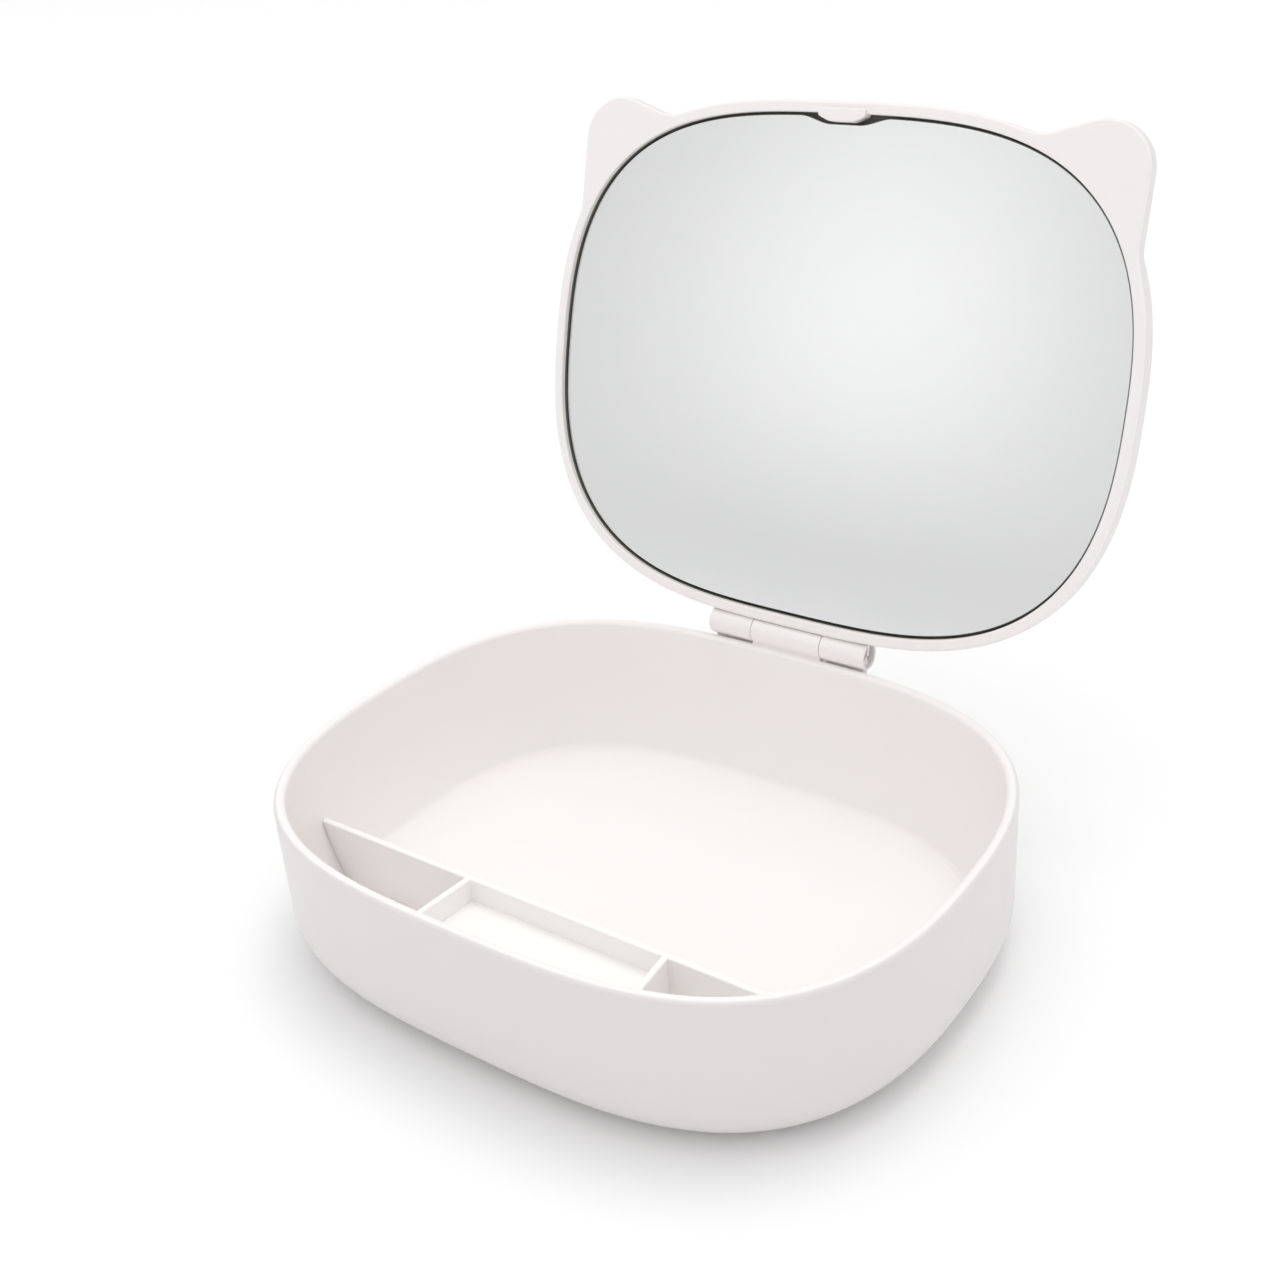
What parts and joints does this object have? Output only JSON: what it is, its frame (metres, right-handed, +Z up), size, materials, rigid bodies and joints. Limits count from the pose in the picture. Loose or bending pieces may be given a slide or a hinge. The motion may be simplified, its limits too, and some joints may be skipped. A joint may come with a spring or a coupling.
{
  "type": "vanity box with mirror",
  "caption": "White vanity box with rounded walls, a front organiser and a hinged mirror lid with rounded ears.",
  "frame": {"origin": "centre of the box's underside, on the surface it stands on", "axes": "+X to the right along the hinge, +Y from the front to the hinge, +Z up"},
  "size_m": [0.18, 0.187, 0.1859],
  "materials": {
    "box_white": "satin",
    "organiser_white": "satin",
    "lid_white": "satin",
    "pad_grey": "matte",
    "pin_steel": "ground",
    "mirror": "silvered glass",
    "tape": "matte"
  },
  "bodies": {
    "box": {"box_shell": "box_white", "organiser_insert": "organiser_white", "base_pad": "pad_grey", "hinge_pin": "pin_steel"},
    "lid": {"lid_frame": "lid_white", "lid_cover": "lid_white", "mirror_glass": "mirror", "mirror_tape_left": "tape", "mirror_tape_centre": "tape", "mirror_tape_right": "tape"}
  },
  "joints": [
    {"name": "lid_hinge", "type": "hinge", "parent": "box", "child": "lid", "pos_m": [0, 0.07377, 0.0457], "axis": [1, 0, 0], "range_deg": [0, 105]}
  ]
}
